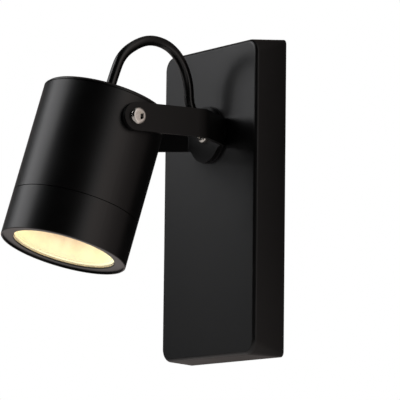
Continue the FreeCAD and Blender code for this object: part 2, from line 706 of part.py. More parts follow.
def lamp_body():
    """Reflector lamp: a lip, a curved bowl that narrows to a neck, and a round base."""
    wall = LAMP_LIP
    neck = 11.5
    base = 9.5
    bowl_start = LAMP_FACE + 3.0
    bowl_end = bowl_start + 30.0
    cavity_end = bowl_end - 6.0
    outside = bowl_edge(LAMP_RADIUS, neck, bowl_start, bowl_end)
    inside = bowl_edge(LAMP_RADIUS - wall, neck, bowl_start, cavity_end)

    def line(*pairs):
        points = [Vector(r, 0, z) for r, z in pairs]
        return Part.makePolygon(points).Edges

    edges = [*line((LAMP_RADIUS - wall, bowl_start), (LAMP_RADIUS - wall, LAMP_FACE),
                   (LAMP_RADIUS, LAMP_FACE), (LAMP_RADIUS, bowl_start)), outside,
             *line((neck, bowl_end), (base, bowl_end + 1.5), (base, LAMP_END), (0, LAMP_END),
                   (0, cavity_end), (neck, cavity_end)), inside]
    return Part.Face(Part.Wire(edges)).revolve(Vector(0, 0, 0), Z, 360)


def lamp_lens():
    """Clear front lens that sits inside the lamp's lip."""
    bevel = 0.3
    radius = LAMP_RADIUS - LAMP_LIP - 0.05
    front = LAMP_FACE + 0.3
    return turned([(0, front), (radius - bevel, front), (radius, front + bevel),
                   (radius, front + 1.6), (0, front + 1.6)])


def lamp_pins():
    """Two headed contact studs."""
    pins = []
    for side in (-1, 1):
        x = side * LAMP_PIN_PITCH / 2
        stud = turned([(0, LAMP_END), (1.3, LAMP_END), (1.3, LAMP_END + 4), (2.4, LAMP_END + 4),
                       (2.4, LAMP_END + 6.5), (0, LAMP_END + 6.5)])
        stud.translate(Vector(x, 0, 0))
        pins.append(stud)
    return Part.makeCompound(pins)


def lampholder():
    """Ceramic holder: a round block with two flats, bores for the studs and screw holes."""
    end = HOLDER_START + HOLDER_LENGTH
    body = rod(13.5, (0, 0, HOLDER_START), (0, 0, end))
    flats = block((-14, -8.5, HOLDER_START), (14, 8.5, end))
    body = body.common(flats)
    cuts = []
    for side in (-1, 1):
        x = side * LAMP_PIN_PITCH / 2
        cuts.append(rod(2.7, (x, 0, HOLDER_START - 1), (x, 0, HOLDER_START + 8.5)))
        cuts.append(rod(1.5, (0, side * 6.0, end - 6), (0, side * 6.0, end + 1)))
    return body.cut(cuts)


def holder_bracket():
    """Strap that carries the lampholder across the tube, screwed to the two lugs."""
    low = HOLDER_START + HOLDER_LENGTH
    strap = block((-4.5, -27, low), (4.5, 27, low + STRAP_THICKNESS))
    corners = [e for e in strap.Edges if is_along(e, Z)]
    strap = strap.makeFillet(4.0, corners)
    cuts = [rod(1.6, (0, y, low - 1), (0, y, low + 3)) for y in holder_screw_y()]
    return strap.cut(cuts)


def holder_screw_y():
    return (-LUG_PITCH, -6.0, 6.0, LUG_PITCH)


def holder_screws():
    """Two screws into the lugs and two into the holder."""
    seat = HOLDER_START + HOLDER_LENGTH + STRAP_THICKNESS
    screws = [pan_screw(1.45, 2.6, 1.5, (0, y, seat), (0, 0, -1), 5.0) for y in holder_screw_y()]
    return Part.makeCompound(screws)


def rear_cap():
    """Thin lid with a bevelled edge, a collar inside the tube and the gland's hole."""
    groove = BODY_BORE - SEAL_DEPTH
    groove_start = CAP_GROOVE_END - SEAL_GROOVE
    collar_start = groove_start - 1.3
    collar_bore = CAP_COLLAR - 2.4
    gland_hole = 3.7
    return turned([
        (gland_hole, CAP_START), (gland_hole, HEAD_LENGTH), (HEAD_RADIUS - CAP_CHAMFER, HEAD_LENGTH),
        (HEAD_RADIUS, HEAD_LENGTH - CAP_CHAMFER), (HEAD_RADIUS, CAP_START), (CAP_COLLAR, CAP_START),
        (CAP_COLLAR, CAP_GROOVE_END), (groove, CAP_GROOVE_END), (groove, groove_start),
        (CAP_COLLAR, groove_start), (CAP_COLLAR, collar_start), (collar_bore, collar_start),
        (collar_bore, CAP_START),
    ])


def cap_seal():
    start = CAP_GROOVE_END - (SEAL_GROOVE + SEAL_HEIGHT) / 2
    return flat_ring(BODY_BORE - SEAL_DEPTH, BODY_BORE, start, SEAL_HEIGHT)


def cable_gland():
    """Moulded gland with a tapered nose, its stem through the cap."""
    return turned([
        (FLEX_RADIUS, 73.0), (3.6, 73.0), (3.6, HEAD_LENGTH), (7.4, HEAD_LENGTH), (7.6, HEAD_LENGTH + 0.3),
        (7.6, HEAD_LENGTH + 1.6), (7.1, HEAD_LENGTH + 2.1), (5.0, HEAD_LENGTH + 2.6),
        (3.7, GLAND_TOP - 0.4), (3.4, GLAND_TOP), (FLEX_RADIUS, GLAND_TOP),
    ])


def gland_nut():
    height = 2.8
    nut = hex_prism(11.0, (0, 0, CAP_START - height), (0, 0, height))
    return nut.cut(rod(3.6, (0, 0, CAP_START - height - 1), (0, 0, CAP_START + 1)))


def head_flex_end():
    """The flex's sheath inside the gland, down to where its cores part."""
    return rod(FLEX_RADIUS, (0, 0, GLAND_TOP), (0, 0, SHEATH_END))


def lamp_leads():
    """Two cores from the sheath's end round the strap and into the lampholder."""
    back = HOLDER_START + HOLDER_LENGTH
    leads = []
    for side in (-1, 1):
        route = [(side * 1.2, 0, SHEATH_END), (side * 1.2, 0, 70.2), (side * 3.4, 0, 68.7),
                 (side * 7.2, 0, 68.9), (side * 9.6, 0, 67.6), (side * 9.6, 0, back)]
        leads.append(tube("lamp lead", route, CORE_RADIUS))
    return Part.makeCompound(leads)


def pivot_screws():
    """Screws through the arms into the head's bosses."""
    seat = ARM_OUTSIDE + RUNNING_GAP
    screw = socket_screw((seat, 0, PIVOT_FROM_RIM), (-1, 0, 0), seat - BOSS_INNER - 0.5)
    return Part.makeCompound([screw, screw.mirror(Vector(0, 0, 0), X)])


def pivot_washers():
    """Friction washers between the bosses and the arms."""
    arm_face = ARM_OUTSIDE - STRIP_THICKNESS - RUNNING_GAP
    ends = ((BOSS_FACE, 0, PIVOT_FROM_RIM), (arm_face, 0, PIVOT_FROM_RIM))
    ring = rod(BOSS_RADIUS, *ends).cut(rod(SCREW_RADIUS + 0.1, *ends))
    return Part.makeCompound([ring, ring.mirror(Vector(0, 0, 0), X)])


# ---- the nodes ----------------------------------------------------------------------------

BASE = {
    "wall_housing": wall_housing,
    "wall_gasket": wall_gasket,
    "mounting_bracket": mounting_bracket,
    "housing_fixing_screw": housing_fixing_screw,
    "terminal_block": terminal_block,
    "terminal_screws": terminal_screws,
    "earth_screw": earth_screw,
    "earth_lead": earth_lead,
    "cord_grip": cord_grip,
    "cord_grip_screws": cord_grip_screws,
    "inner_flex": inner_flex,
    "live_core": lambda: block_core(0),
    "neutral_core": lambda: block_core(1),
    "earth_core": lambda: block_core(2),
    "swivel_disc": swivel_disc,
    "swivel_screw": swivel_screw,
    "swivel_spring_washer": swivel_spring_washer,
    "swivel_nut": swivel_nut,
}

YOKE = {
    "yoke": yoke,
    "pad_grommet": pad_grommet,
    "flex_cable": flex_cable,
}

HEAD = {
    "head_body": head_body,
    "front_ring": front_ring,
    "ring_seal": ring_seal,
    "glass_gasket": glass_gasket,
    "front_glass": front_glass,
    "lamp_body": lamp_body,
    "lamp_lens": lamp_lens,
    "lamp_pins": lamp_pins,
    "lampholder": lampholder,
    "holder_bracket": holder_bracket,
    "holder_screws": holder_screws,
    "rear_cap": rear_cap,
    "cap_seal": cap_seal,
    "cable_gland": cable_gland,
    "gland_nut": gland_nut,
    "head_flex_end": head_flex_end,
    "lamp_leads": lamp_leads,
    "pivot_screws": pivot_screws,
    "pivot_washers": pivot_washers,
}

os.makedirs("parts", exist_ok=True)
for name, make in {**BASE, **YOKE, **HEAD}.items():
    shape = in_head(make()) if name in HEAD else make()
    shape.exportStep(f"parts/{name}.step")
    box = shape.BoundBox
    print(f"{name}: valid {shape.isValid()}, solids {len(shape.Solids)}, volume {shape.Volume:.1f}, "
          f"x {box.XMin:.1f}..{box.XMax:.1f}, y {box.YMin:.1f}..{box.YMax:.1f}, "
          f"z {box.ZMin:.1f}..{box.ZMax:.1f}")
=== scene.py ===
import bmesh
import bpy
import json
import math
from mathutils import Matrix, Vector


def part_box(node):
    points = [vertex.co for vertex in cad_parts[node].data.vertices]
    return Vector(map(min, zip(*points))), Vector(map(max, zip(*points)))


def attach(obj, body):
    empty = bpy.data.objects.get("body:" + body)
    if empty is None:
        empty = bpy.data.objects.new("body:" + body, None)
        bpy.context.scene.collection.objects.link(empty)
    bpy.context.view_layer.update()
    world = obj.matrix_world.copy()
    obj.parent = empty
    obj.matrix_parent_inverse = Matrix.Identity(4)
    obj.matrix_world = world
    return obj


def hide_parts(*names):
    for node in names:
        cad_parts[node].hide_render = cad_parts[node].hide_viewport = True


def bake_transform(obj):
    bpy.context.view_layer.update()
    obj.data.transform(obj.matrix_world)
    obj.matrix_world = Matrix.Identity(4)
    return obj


# Looks of a pivoting spotlight for a wall: satin black casting, ring and cap, a bent black yoke,
# bright screws, a smooth black flex and a lit reflector lamp. Metres. The wall is y = 0 and the
# light stands out towards -Y.

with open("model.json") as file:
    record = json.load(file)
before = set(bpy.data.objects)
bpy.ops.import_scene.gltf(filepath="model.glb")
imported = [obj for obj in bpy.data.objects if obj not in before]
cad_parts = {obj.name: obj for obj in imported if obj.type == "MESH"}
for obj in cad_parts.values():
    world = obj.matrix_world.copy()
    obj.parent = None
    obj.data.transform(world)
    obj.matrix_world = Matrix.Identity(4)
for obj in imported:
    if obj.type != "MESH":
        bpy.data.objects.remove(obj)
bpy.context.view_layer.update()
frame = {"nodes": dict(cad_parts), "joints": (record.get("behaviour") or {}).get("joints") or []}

# ---- sizes that the looks need ------------------------------------------------------------

MM = 0.001
HEAD_TILT = math.radians(17.1)
PIVOT_FROM_RIM = 66.2 * MM
FLEX_DIAMETER = 5.0 * MM
LAMP_RADIUS = 25.0 * MM
LAMP_FACE = 4.4 * MM
LAMP_LIP = 1.3 * MM
LAMP_NECK = 11.5 * MM
LAMP_BASE = 9.5 * MM
LAMP_END = 52.6 * MM
BOWL_START = LAMP_FACE + 3.0 * MM
BOWL_DEPTH = 30.0 * MM
CAVITY_DEPTH = 24.0 * MM
SEEN_DEPTH = 14.0 * MM
DOME_STEPS = 8

# the flex's control points in the plane x = 0, as (y, z) in millimetres
FLEX_ROUTE = [
    (-74.96, 51.48), (-72.9, 58.17), (-68.6, 69.0), (-58.5, 76.0), (-50.0, 78.0), (-40.5, 75.5),
    (-33.5, 68.5), (-29.5, 58.5), (-29.0, 46.5), (-24.0, 42.4), (-17.75, 42.4),
]
# the flex inside the housing, as (x, y, z) in millimetres
INNER_ROUTE = [
    (0.0, -17.75, 42.4), (0.0, -12.0, 42.4), (3.2, -6.2, 39.6),
    (12.0, -6.8, 31.0), (16.0, -9.0, 21.0), (16.0, -9.0, 11.0),
]

pivot = Vector(next(j for j in frame["joints"] if j["name"] == "head_tilt")["pos_m"])
head_to_frame = (Matrix.Translation(pivot) @ Matrix.Rotation(-HEAD_TILT, 4, "X")
                 @ Matrix.Translation((0, 0, -PIVOT_FROM_RIM)))


# ---- small helpers ------------------------------------------------------------------------

def add_object(name, mesh):
    piece = bpy.data.objects.new(name, mesh)
    bpy.context.scene.collection.objects.link(piece)
    return piece


def smooth(mesh):
    for polygon in mesh.polygons:
        polygon.use_smooth = True


class Nodes:
    """A node material with one Principled shader, and short calls that add nodes to it."""

    def __init__(self, name, colour, roughness, metallic=0.0, specular=0.5):
        self.material = bpy.data.materials.new(name)
        self.material.use_nodes = True
        self.tree = self.material.node_tree
        self.shader = self.tree.nodes["Principled BSDF"]
        self.shader.inputs["Base Color"].default_value = (*colour, 1)
        self.shader.inputs["Roughness"].default_value = roughness
        self.shader.inputs["Metallic"].default_value = metallic
        self.shader.inputs["Specular IOR Level"].default_value = specular

    def add(self, kind, **settings):
        node = self.tree.nodes.new(kind)
        for key, value in settings.items():
            setattr(node, key, value)
        return node

    def link(self, source, target):
        self.tree.links.new(source, target)

    def place(self, scale=(1, 1, 1), head=False, shift=(0, 0, 0)):
        """Object coordinates, in the lamp head's own axes if head is set, then scaled and shifted."""
        coordinates = self.add("ShaderNodeTexCoord").outputs["Object"]
        if head:
            turn = self.add("ShaderNodeMapping", vector_type="TEXTURE")
            turn.inputs["Location"].default_value = head_to_frame.to_translation()
            turn.inputs["Rotation"].default_value = head_to_frame.to_euler()
            self.link(coordinates, turn.inputs["Vector"])
            coordinates = turn.outputs["Vector"]
        stretch = self.add("ShaderNodeMapping")
        stretch.inputs["Scale"].default_value = scale
        stretch.inputs["Location"].default_value = shift
        self.link(coordinates, stretch.inputs["Vector"])
        return stretch.outputs["Vector"]

    def noise(self, scale, detail=3.0, vector=None):
        """Noise with features of about 1 / scale metres."""
        node = self.add("ShaderNodeTexNoise")
        node.inputs["Scale"].default_value = scale
        node.inputs["Detail"].default_value = detail
        self.link(vector or self.place(), node.inputs["Vector"])
        return node.outputs["Fac"]

    def ramp(self, factor, *stops):
        """Colour ramp with (position, colour) stops."""
        node = self.add("ShaderNodeValToRGB")
        elements = node.color_ramp.elements
        while len(elements) < len(stops):
            elements.new(0.5)
        for element, (position, colour) in zip(elements, stops):
            element.position = position
            element.color = (*colour, 1)
        self.link(factor, node.inputs["Fac"])
        return node.outputs["Color"]

    def level(self, factor, low, high, from_low=0.3, from_high=0.7):
        """A number between low and high that follows the factor."""
        node = self.add("ShaderNodeMapRange")
        for key, value in (("From Min", from_low), ("From Max", from_high),
                           ("To Min", low), ("To Max", high)):
            node.inputs[key].default_value = value
        self.link(factor, node.inputs["Value"])
        return node.outputs["Result"]

    def bump(self, height, distance, strength=1.0):
        node = self.add("ShaderNodeBump")
        node.inputs["Strength"].default_value = strength
        node.inputs["Distance"].default_value = distance
        self.link(height, node.inputs["Height"])
        self.link(node.outputs["Normal"], self.shader.inputs["Normal"])


# ---- materials ----------------------------------------------------------------------------

FINE_GRAIN = 0.02 * MM        # depth of a surface's fine bumps
FAINT_GRAIN = 0.01 * MM       # depth of bumps on smoother surfaces
# strength of the reflector's painted glow
REFLECTOR_GLOW = 1.6
# direction in the head's axes towards which the reflector's painted glow turns peach
PEACH_GLOW_SIDE = (-0.55, -0.84, 0)


def coat(name, colour, roughness, grain, specular=0.5):
    """Satin powder coat: near black, with a faint cloud in its sheen and a fine orange peel."""
    nodes = Nodes(name, colour, roughness, specular=specular)
    cloud = nodes.noise(60)
    deep = tuple(0.85 * c for c in colour)
    pale = tuple(1.15 * c for c in colour)
    nodes.link(nodes.ramp(cloud, (0.3, deep), (0.7, pale)), nodes.shader.inputs["Base Color"])
    nodes.link(nodes.level(cloud, roughness - 0.02, roughness + 0.02), nodes.shader.inputs["Roughness"])
    nodes.bump(nodes.noise(grain, 2.0), FINE_GRAIN, 0.5)
    return nodes.material


def rubber(name, colour, roughness, specular=0.4):
    nodes = Nodes(name, colour, roughness, specular=specular)
    fine = nodes.noise(1500)
    pale = tuple(1.5 * c for c in colour)
    nodes.link(nodes.ramp(fine, (0.3, colour), (0.8, pale)), nodes.shader.inputs["Base Color"])
    nodes.link(nodes.level(fine, roughness - 0.04, roughness + 0.04), nodes.shader.inputs["Roughness"])
    nodes.bump(fine, FINE_GRAIN, 0.4)
    return nodes.material


def turned_metal(name, colour, roughness, grain):
    """Bright metal with a fine mottle of tool marks."""
    nodes = Nodes(name, colour, roughness, metallic=1.0)
    marks = nodes.noise(grain, 4.0)
    dull = tuple(0.82 * c for c in colour)
    nodes.link(nodes.ramp(marks, (0.35, dull), (0.65, colour)), nodes.shader.inputs["Base Color"])
    nodes.link(nodes.level(marks, roughness - 0.05, roughness + 0.08), nodes.shader.inputs["Roughness"])
    nodes.bump(marks, FAINT_GRAIN, 0.5)
    return nodes.material


def zinc_plate():
    """Pressed steel with a mottled zinc plate, brushed along its length."""
    nodes = Nodes("zinc_plate", (0.62, 0.63, 0.62), 0.32, metallic=1.0)
    spangle = nodes.add("ShaderNodeTexVoronoi")
    spangle.inputs["Scale"].default_value = 300
    nodes.link(nodes.place(), spangle.inputs["Vector"])
    shade = nodes.ramp(spangle.outputs["Distance"], (0.0, (0.55, 0.57, 0.58)), (0.9, (0.7, 0.7, 0.66)))
    nodes.link(shade, nodes.shader.inputs["Base Color"])
    brushed = nodes.noise(900, 2.0, nodes.place((1, 1, 0.04)))
    nodes.link(nodes.level(brushed, 0.24, 0.42), nodes.shader.inputs["Roughness"])
    nodes.bump(brushed, FINE_GRAIN, 0.4)
    return nodes.material


def plastic(name, colour, roughness, translucent=0.0):
    nodes = Nodes(name, colour, roughness)
    nodes.shader.inputs["Subsurface Weight"].default_value = translucent
    nodes.shader.inputs["Subsurface Scale"].default_value = 0.002
    cloud = nodes.noise(400)
    deep = tuple(0.93 * c for c in colour)
    nodes.link(nodes.ramp(cloud, (0.3, deep), (0.7, colour)), nodes.shader.inputs["Base Color"])
    nodes.link(nodes.level(cloud, roughness - 0.04, roughness + 0.04), nodes.shader.inputs["Roughness"])
    nodes.bump(nodes.noise(2500, 2.0), FAINT_GRAIN, 0.3)
    return nodes.material


def earth_insulation():
    """Green insulation with two yellow stripes along the wire, which runs mostly up and down."""
    nodes = Nodes("earth_insulation", (0.1, 0.4, 0.08), 0.35)
    stripes = nodes.add("ShaderNodeTexWave", wave_type="BANDS", bands_direction="X")
    stripes.inputs["Scale"].default_value = 160
    nodes.link(nodes.place(), stripes.inputs["Vector"])
    shade = nodes.ramp(stripes.outputs["Fac"], (0.45, (0.08, 0.33, 0.06)), (0.55, (0.75, 0.62, 0.04)))
    nodes.link(shade, nodes.shader.inputs["Base Color"])
    nodes.bump(nodes.noise(2000), FAINT_GRAIN, 0.3)
    return nodes.material


def glass(name, tint, roughness):
    """Clear glass whose surface is very slightly uneven."""
    nodes = Nodes(name, tint, roughness)
    nodes.shader.inputs["Transmission Weight"].default_value = 1.0
    nodes.shader.inputs["IOR"].default_value = 1.47
    nodes.bump(nodes.noise(120, 2.0), FINE_GRAIN, 0.3)
    return nodes.material


def glow_painted_reflector():
    """Aluminised bowl with a painted glow that stands in for the capsule's light on it: pale by the lens,
    amber further in, peach to the front left.
    """
    nodes = Nodes("glow_painted_reflector", (0.4, 0.36, 0.28), 0.3, metallic=1.0)
    place = nodes.place(head=True)
    split = nodes.add("ShaderNodeSeparateXYZ")
    nodes.link(place, split.inputs["Vector"])
    depth = nodes.level(split.outputs["Z"], 0.0, 1.0, LAMP_FACE, LAMP_FACE + SEEN_DEPTH)
    shade = nodes.ramp(depth, (0.0, (1.0, 0.97, 0.55)), (0.4, (1.0, 0.98, 0.5)),
                       (0.65, (0.98, 0.8, 0.4)), (0.85, (0.7, 0.45, 0.2)))
    # painted glow: amber smudges, stronger deeper in the bowl
    smudge = nodes.noise(230, 3.0, place)
    amber = nodes.ramp(smudge, (0.4, (1.0, 1.0, 1.0)), (0.62, (0.8, 0.62, 0.4)))
    mixed = nodes.add("ShaderNodeMix", data_type="RGBA", blend_type="MULTIPLY")
    nodes.link(depth, mixed.inputs["Factor"])
    nodes.link(shade, mixed.inputs["A"])
    nodes.link(amber, mixed.inputs["B"])
    # painted glow: peach towards one side of the bowl
    front = nodes.add("ShaderNodeVectorMath", operation="DOT_PRODUCT")
    front.inputs[1].default_value = PEACH_GLOW_SIDE
    nodes.link(place, front.inputs[0])
    painted_peach_tint = nodes.ramp(nodes.level(front.outputs["Value"], 0.0, 1.0, 0.0, LAMP_RADIUS),
                       (0.45, (1.0, 1.0, 1.0)), (1.0, (0.95, 0.75, 0.55)))
    toned = nodes.add("ShaderNodeMix", data_type="RGBA", blend_type="MULTIPLY")
    toned.inputs["Factor"].default_value = 1.0
    nodes.link(mixed.outputs["Result"], toned.inputs["A"])
    nodes.link(painted_peach_tint, toned.inputs["B"])
    nodes.link(toned.outputs["Result"], nodes.shader.inputs["Emission Color"])
    nodes.shader.inputs["Emission Strength"].default_value = REFLECTOR_GLOW
    return nodes.material


def glowing(name, colour, strength, roughness=0.4):
    """Piece that glows with the lamp's light, with a faint cloud in its glow: the capsule's own light, or
    a painted glow on a piece that the lamp lights.
    """
    nodes = Nodes(name, colour, roughness)
    cloud = nodes.noise(300)
    deep = tuple(0.9 * c for c in colour)
    shade = nodes.ramp(cloud, (0.3, deep), (0.7, colour))
    nodes.link(shade, nodes.shader.inputs["Base Color"])
    nodes.link(shade, nodes.shader.inputs["Emission Color"])
    nodes.shader.inputs["Emission Strength"].default_value = strength
    return nodes.material


black_coat = coat("black_coat", (0.002, 0.002, 0.0022), roughness=0.34, grain=2200)
yoke_coat = coat("yoke_coat", (0.0024, 0.0024, 0.0024), roughness=0.42, grain=2600, specular=0.3)
black_rubber = rubber("black_rubber", (0.012, 0.012, 0.012), roughness=0.65)
black_nylon = rubber("black_nylon", (0.011, 0.011, 0.012), roughness=0.5)
flex_sheath = rubber("flex_sheath", (0.004, 0.004, 0.004), roughness=0.24, specular=0.6)
bright_steel = turned_metal("bright_steel", (0.78, 0.75, 0.7), roughness=0.2, grain=900)
brass = turned_metal("brass", (0.78, 0.6, 0.28), roughness=0.28, grain=900)
zinc = zinc_plate()
white_plastic = plastic("white_plastic", (0.82, 0.82, 0.78), roughness=0.4, translucent=0.3)
brown_core = plastic("brown_core", (0.2, 0.07, 0.03), roughness=0.35)
blue_core = plastic("blue_core", (0.03, 0.15, 0.5), roughness=0.35)
green_core = earth_insulation()
white_sleeve = plastic("white_sleeve", (0.8, 0.78, 0.72), roughness=0.7)
ceramic = plastic("ceramic", (0.82, 0.79, 0.7), roughness=0.25, translucent=0.2)
lamp_casing = plastic("lamp_casing", (0.85, 0.85, 0.82), roughness=0.2, translucent=0.2)
clear_glass = glass("clear_glass", (1.0, 1.0, 1.0), roughness=0.02)
lens_glass = glass("lens_glass", (1.0, 0.98, 0.92), roughness=0.04)
# painted glow: the gasket round the glass glows as if lit by the lamp
silicone = glowing("silicone", (0.95, 0.8, 0.5), strength=0.6)
reflector = glow_painted_reflector()
capsule_glow = glowing("capsule_glow", (1.0, 0.86, 0.55), strength=1.5, roughness=0.2)

FINISHES = {
    "wall_housing": black_coat, "head_body": black_coat, "front_ring": black_coat,
    "rear_cap": black_coat, "yoke": yoke_coat,
    "wall_gasket": black_rubber, "ring_seal": black_rubber, "cap_seal": black_rubber,
    "pad_grommet": black_rubber, "glass_gasket": silicone,
    "cable_gland": black_nylon, "gland_nut": black_nylon, "cord_grip": black_nylon,
    "swivel_disc": black_nylon, "pivot_washers": black_nylon,
    "mounting_bracket": zinc, "holder_bracket": zinc,
    "housing_fixing_screw": bright_steel, "cord_grip_screws": bright_steel,
    "swivel_screw": bright_steel, "swivel_spring_washer": bright_steel,
    "swivel_nut": bright_steel, "pivot_screws": bright_steel, "holder_screws": bright_steel,
    "terminal_screws": brass, "earth_screw": brass, "lamp_pins": brass,
    "terminal_block": white_plastic,
    "head_flex_end": flex_sheath, "inner_flex": flex_sheath, "flex_cable": flex_sheath,
    "live_core": brown_core, "neutral_core": blue_core, "earth_core": green_core,
    "earth_lead": green_core, "lamp_leads": white_sleeve,
    "front_glass": clear_glass, "lamp_lens": lens_glass, "lamp_body": lamp_casing,
    "lampholder": ceramic,
}
for node, finish in FINISHES.items():
    materials = frame["nodes"][node].data.materials
    materials.clear()
    materials.append(finish)


# ---- cords --------------------------------------------------------------------------------

def route_line(points):
    """Points along the smooth NURBS line that has these control points."""
    curve = bpy.data.curves.new("route", "CURVE")
    curve.dimensions = "3D"
    curve.resolution_u = 16
    spline = curve.splines.new("NURBS")
    spline.points.add(len(points) - 1)
    for target, point in zip(spline.points, points):
        target.co = (*point, 1)
    spline.order_u = 3
    spline.use_endpoint_u = True
    holder = add_object("route", curve)
    mesh = bpy.data.meshes.new_from_object(holder)
    line = [vertex.co.copy() for vertex in mesh.vertices]
    bpy.data.objects.remove(holder)
    bpy.data.meshes.remove(mesh)
    return line


def cord_mesh(name, line, radius, sides=32):
    """Round tube along a line, its ends closed, with frames carried along without twist."""
    mesh = bmesh.new()
    rings = []
    side = Vector((1, 0, 0))
    for i, point in enumerate(line):
        along = (line[min(i + 1, len(line) - 1)] - line[max(i - 1, 0)]).normalized()
        side = (side - along * side.dot(along)).normalized()
        up = along.cross(side)
        ring = []
        for k in range(sides):
            angle = 2 * math.pi * k / sides
            ring.append(mesh.verts.new(point + radius * (math.cos(angle) * side + math.sin(angle) * up)))
        rings.append(ring)
    for low, high in zip(rings, rings[1:]):
        for k in range(sides):
            mesh.faces.new((low[k], low[(k + 1) % sides], high[(k + 1) % sides], high[k]))
    mesh.faces.new(rings[0][::-1])
    mesh.faces.new(rings[-1])
    data = bpy.data.meshes.new(name)
    mesh.to_mesh(data)
    mesh.free()
    smooth(data)
    return add_object(name, data)


def flex():
    """Free loop of flex from the head's gland to the hole in the yoke's pad."""
    line = route_line([Vector((0, y, z)) * MM for y, z in FLEX_ROUTE])
    piece = cord_mesh("flex_loop", line, FLEX_DIAMETER / 2)
    piece.data.materials.append(flex_sheath)
    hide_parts("flex_cable")
    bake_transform(piece)


def inner_flex():
    """Flex behind the pad, from the pad's hole into the housing."""
    line = route_line([Vector(point) * MM for point in INNER_ROUTE])
    piece = cord_mesh("flex_in_housing", line, FLEX_DIAMETER / 2)
    piece.data.materials.append(flex_sheath)
    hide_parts("inner_flex")
    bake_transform(piece)


flex()
inner_flex()


# ---- lamp ---------------------------------------------------------------------------------

FACET_RINGS = 9
FACETS_ROUND = 60
CASING_STEPS = 14
BOWL_NARROWS = 0.3            # share of the way from lip to neck that the bowl has narrowed at half depth
BASE_STEP = 1.5 * MM
CAPSULE_RADIUS = 4.5 * MM
CAPSULE_LENGTH = 15.0 * MM
CAPSULE_SEAT = 0.2 * MM
CAPSULE_SIDES = 32
CLOSE = 0.1 * MM              # a face this near to a plane counts as on it
FACET_SLACK = 0.3 * MM        # a facet's middle may lie this far outside the bowl's curve


def arc_through(first, middle, last, steps):
    """Points of the circle through three (radius, depth) points, from the first to the last."""
    a, b, c = (Vector(point) for point in (first, middle, last))
    ab, ac = b - a, c - a
    twice = 2 * (ab.x * ac.y - ab.y * ac.x)
    centre = a + Vector((ac.y * ab.length_squared - ab.y * ac.length_squared,
                         ab.x * ac.length_squared - ac.x * ab.length_squared)) / twice
    sweep = (a - centre).angle_signed(c - centre)
    radius = (a - centre).length
    start = math.atan2((a - centre).y, (a - centre).x)
    return [(centre.x + radius * math.cos(start - sweep * i / steps),
             centre.y + radius * math.sin(start - sweep * i / steps)) for i in range(steps + 1)]


def bowl_profile(lip, neck, start, end, steps):
    """The reflector's curve from its wide lip to its neck, as (radius, depth)."""
    halfway = (lip - BOWL_NARROWS * (lip - neck), (start + end) / 2)
    return arc_through((lip, start), halfway, (neck, end), steps)


def turned_mesh(name, profile, sides, stagger=(), hexagons=(), place=head_to_frame):
    """Closed body of revolution about the Z axis of place, from (radius, depth) pairs.

    Rings named in stagger turn half a side, and those named in hexagons are hexagons
    whose radius is measured to their flats.
    """
    mesh = bmesh.new()
    rings = []
    for index, (radius, depth) in enumerate(profile):
        if radius == 0:
            rings.append([mesh.verts.new(place @ Vector((0, 0, depth)))])
            continue
        turn = 0.5 if index in stagger else 0.0
        ring = []
        for k in range(sides):
            angle = 2 * math.pi * (k + turn) / sides
            reach = radius
            if index in hexagons:
                reach = radius / math.cos(angle % (math.pi / 3) - math.pi / 6)
            spot = Vector((reach * math.cos(angle), reach * math.sin(angle), depth))
            ring.append(mesh.verts.new(place @ spot))
        rings.append(ring)
    for index, (low, high) in enumerate(zip(rings, rings[1:])):
        lean = (index in stagger) - (index + 1 in stagger)
        for k in range(sides):
            after = (k + 1) % sides
            if len(low) == 1:
                faces = [(low[0], high[k], high[after])]
            elif len(high) == 1:
                faces = [(low[k], high[0], low[after])]
            elif lean == 0:
                faces = [(low[k], high[k], high[after], low[after])]
            elif lean < 0:
                faces = [(low[k], high[k], low[after]), (low[after], high[k], high[after])]
            else:
                faces = [(low[k], high[after], low[after]), (low[k], high[k], high[after])]
            for corners in faces:
                mesh.faces.new(corners)
    bmesh.ops.recalc_face_normals(mesh, faces=mesh.faces)
    data = bpy.data.meshes.new(name)
    mesh.to_mesh(data)
    mesh.free()
    return add_object(name, data)


def reflector_lamp():
    """Lamp with a smooth white casing and, inside it, a bowl of small flat facets."""
    bowl_back = BOWL_START + CAVITY_DEPTH
    casing_end = BOWL_START + BOWL_DEPTH
    inside_radius = LAMP_RADIUS - LAMP_LIP
    casing = bowl_profile(LAMP_RADIUS, LAMP_NECK, BOWL_START, casing_end, CASING_STEPS)
    bowl = bowl_profile(inside_radius, LAMP_NECK, BOWL_START, bowl_back, FACET_RINGS)
    lip = [(inside_radius, LAMP_FACE), (LAMP_RADIUS, LAMP_FACE)]
    base = [(LAMP_BASE, casing_end + BASE_STEP), (LAMP_BASE, LAMP_END), (0, LAMP_END)]
    profile = [(0, bowl_back)] + bowl[::-1] + lip + casing + base
    every_other_ring = range(2, len(bowl) + 1, 2)
    piece = turned_mesh("reflector_lamp", profile, FACETS_ROUND, stagger=every_other_ring)
    piece.data.materials.append(lamp_casing)
    piece.data.materials.append(reflector)
    to_head = head_to_frame.inverted()
    for polygon in piece.data.polygons:
        middle = to_head @ polygon.center
        on_lip = middle.z < LAMP_FACE + CLOSE
        in_bowl = middle.z < bowl_back + CLOSE and bowl_holds(middle, bowl)
        inside = on_lip or in_bowl
        polygon.material_index = int(inside)
        polygon.use_smooth = not inside
    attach(piece, "head")
    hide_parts("lamp_body")


def bowl_holds(point, bowl):
    """Whether a point lies on the bowl's own surface and not on the casing round it."""
    radius = math.hypot(point.x, point.y)
    for (r0, z0), (r1, z1) in zip(bowl, bowl[1:]):
        if z0 <= point.z <= z1:
            return radius < r0 + (r1 - r0) * (point.z - z0) / (z1 - z0) + FACET_SLACK
    return point.z > bowl[-1][1] - CLOSE or radius < bowl[0][0] + CLOSE


